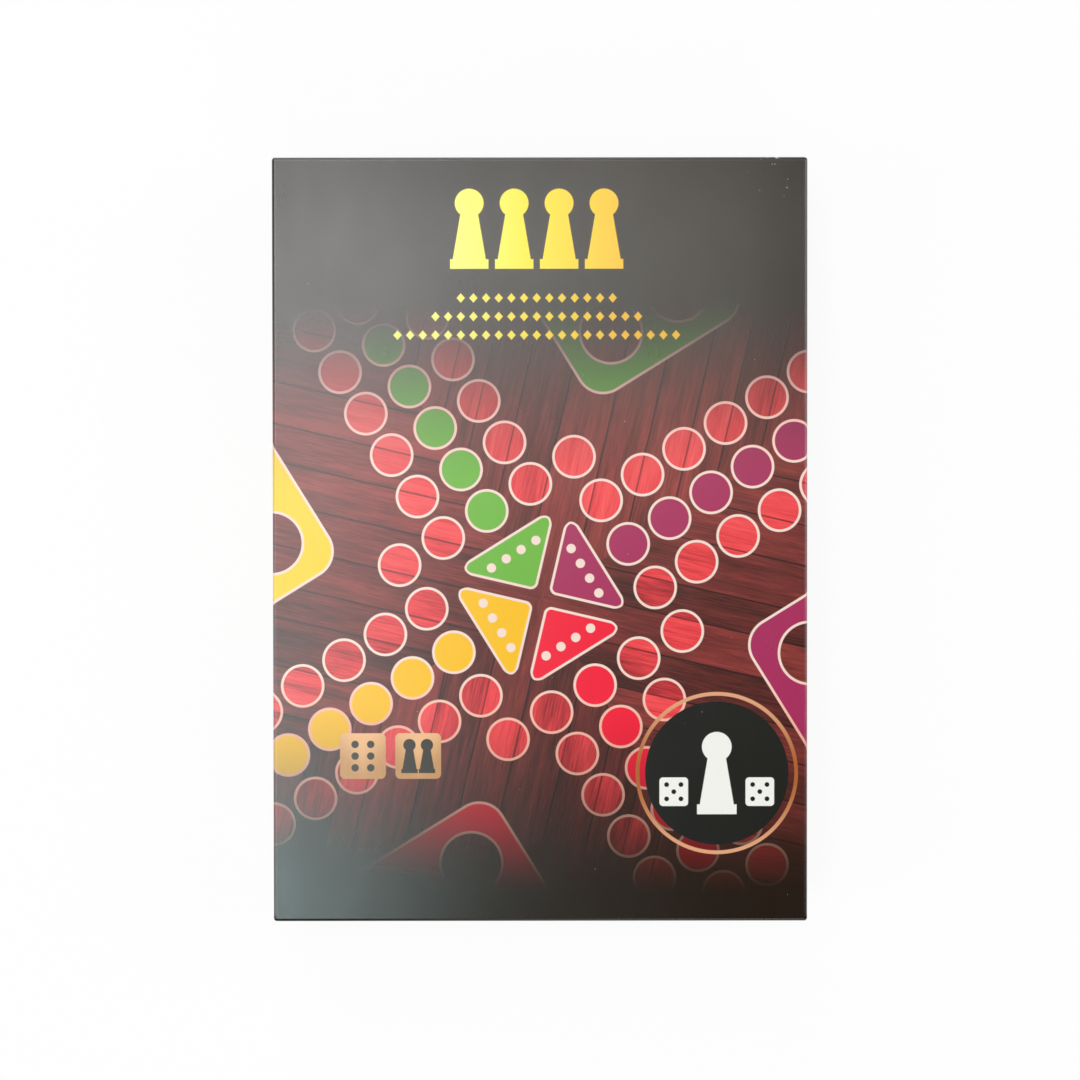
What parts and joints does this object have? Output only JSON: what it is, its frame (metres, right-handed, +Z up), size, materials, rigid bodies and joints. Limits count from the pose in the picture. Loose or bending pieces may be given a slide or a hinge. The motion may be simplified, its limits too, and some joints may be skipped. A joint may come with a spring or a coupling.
{
  "type": "board game box",
  "caption": "Flat rectangular two-piece game box with a lift-off printed lid, holding a folding ludo board, turned pawns and a die in a card insert.",
  "frame": {"origin": "middle of the underside, on the surface that the box lies on", "axes": "+Z up through the lid, +Y along the box towards the head of the lid's print, +X to the print's right"},
  "size_m": [0.1778, 0.254, 0.0445],
  "materials": {
    "lid_print": "satin laminated print",
    "base_print": "satin laminated paper",
    "bottom_paper": "uncoated",
    "greyboard": "uncoated",
    "stay_paper": "gummed kraft",
    "insert_card": "clay coated",
    "leaflet_paper": "uncoated",
    "board_print": "satin laminated print",
    "board_backing": "embossed",
    "pawn_green": "lacquered",
    "pawn_yellow": "lacquered",
    "pawn_red": "lacquered",
    "pawn_purple": "lacquered",
    "die_wood": "waxed"
  },
  "bodies": {
    "base": {"base_board": "greyboard", "base_corner_stays": "stay_paper", "base_wrap": "base_print", "base_bottom_sheet": "bottom_paper"},
    "lid": {"lid_board": "greyboard", "lid_corner_stays": "stay_paper", "lid_wrap": "lid_print"},
    "insert": {"insert_platform": "insert_card"},
    "rack_near": {"piece_rack_near": "insert_card"},
    "rack_far": {"piece_rack_far": "insert_card"},
    "leaflet": {"rules_leaflet": "leaflet_paper"},
    "board_lower": {"board_lower_backing": "board_backing", "board_lower_core": "greyboard", "board_lower_print": "board_print", "board_crease": "board_print"},
    "board_upper": {"board_upper_backing": "board_backing", "board_upper_core": "greyboard", "board_upper_print": "board_print"},
    "pawn_green_1": {"pawn_green_1": "pawn_green"},
    "pawn_green_2": {"pawn_green_2": "pawn_green"},
    "pawn_green_3": {"pawn_green_3": "pawn_green"},
    "pawn_green_4": {"pawn_green_4": "pawn_green"},
    "pawn_yellow_1": {"pawn_yellow_1": "pawn_yellow"},
    "pawn_yellow_2": {"pawn_yellow_2": "pawn_yellow"},
    "pawn_yellow_3": {"pawn_yellow_3": "pawn_yellow"},
    "pawn_yellow_4": {"pawn_yellow_4": "pawn_yellow"},
    "pawn_red_1": {"pawn_red_1": "pawn_red"},
    "pawn_red_2": {"pawn_red_2": "pawn_red"},
    "pawn_red_3": {"pawn_red_3": "pawn_red"},
    "pawn_red_4": {"pawn_red_4": "pawn_red"},
    "pawn_purple_1": {"pawn_purple_1": "pawn_purple"},
    "pawn_purple_2": {"pawn_purple_2": "pawn_purple"},
    "pawn_purple_3": {"pawn_purple_3": "pawn_purple"},
    "pawn_purple_4": {"pawn_purple_4": "pawn_purple"},
    "die": {"die": "die_wood"}
  },
  "joints": [
    {"name": "lid_lift", "type": "slide", "parent": "base", "child": "lid", "axis": [0, 0, 1], "range_m": [0, 0.55]},
    {"name": "insert_lift", "type": "slide", "parent": "base", "child": "insert", "axis": [0, 0, 1], "range_m": [0, 0.06]},
    {"name": "rack_near_lift", "type": "slide", "parent": "insert", "child": "rack_near", "axis": [0, 0, 1], "range_m": [0, 0.045]},
    {"name": "rack_far_lift", "type": "slide", "parent": "insert", "child": "rack_far", "axis": [0, 0, 1], "range_m": [0, 0.045]},
    {"name": "die_lift", "type": "slide", "parent": "insert", "child": "die", "axis": [0, 0, 1], "range_m": [0, 0.075]},
    {"name": "leaflet_lift", "type": "slide", "parent": "insert", "child": "leaflet", "axis": [0, 0, 1], "range_m": [0, 0.03]},
    {"name": "board_lift", "type": "slide", "parent": "insert", "child": "board_lower", "axis": [0, 0, 1], "range_m": [0, 0.06]},
    {"name": "board_fold", "type": "hinge", "parent": "board_lower", "child": "board_upper", "pos_m": [-0.0831, 0, 0.0382], "axis": [0, -1, 0], "range_deg": [0, 180]},
    {"name": "pawn_green_1_lift", "type": "slide", "parent": "rack_near", "child": "pawn_green_1", "axis": [0, 0, 1], "range_m": [0, 0.03]},
    {"name": "pawn_green_2_lift", "type": "slide", "parent": "rack_near", "child": "pawn_green_2", "axis": [0, 0, 1], "range_m": [0, 0.03]},
    {"name": "pawn_green_3_lift", "type": "slide", "parent": "rack_near", "child": "pawn_green_3", "axis": [0, 0, 1], "range_m": [0, 0.03]},
    {"name": "pawn_green_4_lift", "type": "slide", "parent": "rack_near", "child": "pawn_green_4", "axis": [0, 0, 1], "range_m": [0, 0.03]},
    {"name": "pawn_yellow_1_lift", "type": "slide", "parent": "rack_far", "child": "pawn_yellow_1", "axis": [0, 0, 1], "range_m": [0, 0.03]},
    {"name": "pawn_yellow_2_lift", "type": "slide", "parent": "rack_far", "child": "pawn_yellow_2", "axis": [0, 0, 1], "range_m": [0, 0.03]},
    {"name": "pawn_yellow_3_lift", "type": "slide", "parent": "rack_far", "child": "pawn_yellow_3", "axis": [0, 0, 1], "range_m": [0, 0.03]},
    {"name": "pawn_yellow_4_lift", "type": "slide", "parent": "rack_far", "child": "pawn_yellow_4", "axis": [0, 0, 1], "range_m": [0, 0.03]},
    {"name": "pawn_red_1_lift", "type": "slide", "parent": "rack_near", "child": "pawn_red_1", "axis": [0, 0, 1], "range_m": [0, 0.03]},
    {"name": "pawn_red_2_lift", "type": "slide", "parent": "rack_near", "child": "pawn_red_2", "axis": [0, 0, 1], "range_m": [0, 0.03]},
    {"name": "pawn_red_3_lift", "type": "slide", "parent": "rack_near", "child": "pawn_red_3", "axis": [0, 0, 1], "range_m": [0, 0.03]},
    {"name": "pawn_red_4_lift", "type": "slide", "parent": "rack_near", "child": "pawn_red_4", "axis": [0, 0, 1], "range_m": [0, 0.03]},
    {"name": "pawn_purple_1_lift", "type": "slide", "parent": "rack_far", "child": "pawn_purple_1", "axis": [0, 0, 1], "range_m": [0, 0.03]},
    {"name": "pawn_purple_2_lift", "type": "slide", "parent": "rack_far", "child": "pawn_purple_2", "axis": [0, 0, 1], "range_m": [0, 0.03]},
    {"name": "pawn_purple_3_lift", "type": "slide", "parent": "rack_far", "child": "pawn_purple_3", "axis": [0, 0, 1], "range_m": [0, 0.03]},
    {"name": "pawn_purple_4_lift", "type": "slide", "parent": "rack_far", "child": "pawn_purple_4", "axis": [0, 0, 1], "range_m": [0, 0.03]}
  ],
  "couplings": [
    {"joint": "insert_lift", "follows": "lid_lift", "ratio": 0.109},
    {"joint": "rack_near_lift", "follows": "lid_lift", "ratio": 0.0818},
    {"joint": "rack_far_lift", "follows": "lid_lift", "ratio": 0.0818},
    {"joint": "die_lift", "follows": "lid_lift", "ratio": 0.1363},
    {"joint": "leaflet_lift", "follows": "lid_lift", "ratio": 0.0545},
    {"joint": "board_lift", "follows": "lid_lift", "ratio": 0.109},
    {"joint": "board_fold", "follows": "lid_lift", "rad_per_m": 5.7119},
    {"joint": "pawn_green_1_lift", "follows": "lid_lift", "ratio": 0.0545},
    {"joint": "pawn_green_2_lift", "follows": "lid_lift", "ratio": 0.0545},
    {"joint": "pawn_green_3_lift", "follows": "lid_lift", "ratio": 0.0545},
    {"joint": "pawn_green_4_lift", "follows": "lid_lift", "ratio": 0.0545},
    {"joint": "pawn_yellow_1_lift", "follows": "lid_lift", "ratio": 0.0545},
    {"joint": "pawn_yellow_2_lift", "follows": "lid_lift", "ratio": 0.0545},
    {"joint": "pawn_yellow_3_lift", "follows": "lid_lift", "ratio": 0.0545},
    {"joint": "pawn_yellow_4_lift", "follows": "lid_lift", "ratio": 0.0545},
    {"joint": "pawn_red_1_lift", "follows": "lid_lift", "ratio": 0.0545},
    {"joint": "pawn_red_2_lift", "follows": "lid_lift", "ratio": 0.0545},
    {"joint": "pawn_red_3_lift", "follows": "lid_lift", "ratio": 0.0545},
    {"joint": "pawn_red_4_lift", "follows": "lid_lift", "ratio": 0.0545},
    {"joint": "pawn_purple_1_lift", "follows": "lid_lift", "ratio": 0.0545},
    {"joint": "pawn_purple_2_lift", "follows": "lid_lift", "ratio": 0.0545},
    {"joint": "pawn_purple_3_lift", "follows": "lid_lift", "ratio": 0.0545},
    {"joint": "pawn_purple_4_lift", "follows": "lid_lift", "ratio": 0.0545}
  ]
}
